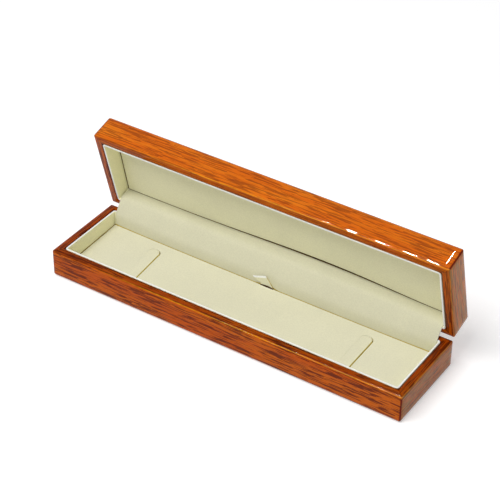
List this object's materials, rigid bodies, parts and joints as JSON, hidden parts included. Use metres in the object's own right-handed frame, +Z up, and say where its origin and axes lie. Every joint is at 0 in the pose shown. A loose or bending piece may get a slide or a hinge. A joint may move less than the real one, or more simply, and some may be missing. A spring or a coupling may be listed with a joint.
{
  "type": "wooden watch box",
  "caption": "Slim lacquered wooden presentation box for a watch or bracelet laid flat, with a hinged lid, a cream lining and a lift-out strap pad.",
  "frame": {"origin": "centre of the base's underside, midway between the case's outer faces in plan", "axes": "+X along the box's length, to the right seen from the front; -Y towards the front; +Z up"},
  "size_m": [0.24, 0.0761, 0.0807],
  "materials": {
    "lacquered_wood": "high gloss lacquer over reddish veneer",
    "cream_leatherette": "fine-grained matte leatherette",
    "lining_cream": "smooth matte leatherette over card",
    "felt_brown": "felt",
    "foam_grey": "open foam",
    "hinge_brass": "satin",
    "steel_pin": "drawn wire"
  },
  "bodies": {
    "base": {"base_front_wall": "lacquered_wood", "base_right_wall": "lacquered_wood", "base_back_wall": "lacquered_wood", "base_left_wall": "lacquered_wood", "base_bottom_board": "lacquered_wood", "base_underside_felt": "felt_brown", "base_wall_lining": "lining_cream", "pad_foam_bed": "foam_grey", "hinge_flap": "cream_leatherette", "left_hinge_base_leaf": "hinge_brass", "left_hinge_pin": "steel_pin", "left_hinge_base_screw_1": "hinge_brass", "left_hinge_base_screw_2": "hinge_brass", "right_hinge_base_leaf": "hinge_brass", "right_hinge_pin": "steel_pin", "right_hinge_base_screw_1": "hinge_brass", "right_hinge_base_screw_2": "hinge_brass"},
    "lid": {"lid_front_wall": "lacquered_wood", "lid_right_wall": "lacquered_wood", "lid_back_wall": "lacquered_wood", "lid_left_wall": "lacquered_wood", "lid_top_panel": "lacquered_wood", "lid_wall_lining": "lining_cream", "lid_pad": "cream_leatherette", "left_hinge_lid_leaf": "hinge_brass", "left_hinge_lid_screw_1": "hinge_brass", "left_hinge_lid_screw_2": "hinge_brass", "right_hinge_lid_leaf": "hinge_brass", "right_hinge_lid_screw_1": "hinge_brass", "right_hinge_lid_screw_2": "hinge_brass"},
    "lift_out_pad": {"strap_pad": "cream_leatherette", "pull_ribbon": "cream_leatherette"},
    "left_tongue": {"left_strap_tongue": "cream_leatherette"},
    "right_tongue": {"right_strap_tongue": "cream_leatherette"}
  },
  "joints": [
    {"name": "lid_hinge", "type": "hinge", "parent": "base", "child": "lid", "pos_m": [0, 0.0305, 0.01865], "axis": [-1, 0, 0], "range_deg": [-75, 0], "deforming": ["hinge_flap"]},
    {"name": "pad_lift", "type": "slide", "parent": "base", "child": "lift_out_pad", "axis": [0, 0, 1], "range_m": [0, 0.013]},
    {"name": "left_tongue_bend", "type": "hinge", "parent": "lift_out_pad", "child": "left_tongue", "pos_m": [-0.0745, -0.018, 0.00797], "axis": [1, 0, 0], "range_deg": [0, 9], "stiffness_Nm_per_rad": 0.002},
    {"name": "right_tongue_bend", "type": "hinge", "parent": "lift_out_pad", "child": "right_tongue", "pos_m": [0.0745, -0.018, 0.00797], "axis": [1, 0, 0], "range_deg": [0, 9], "stiffness_Nm_per_rad": 0.002}
  ]
}
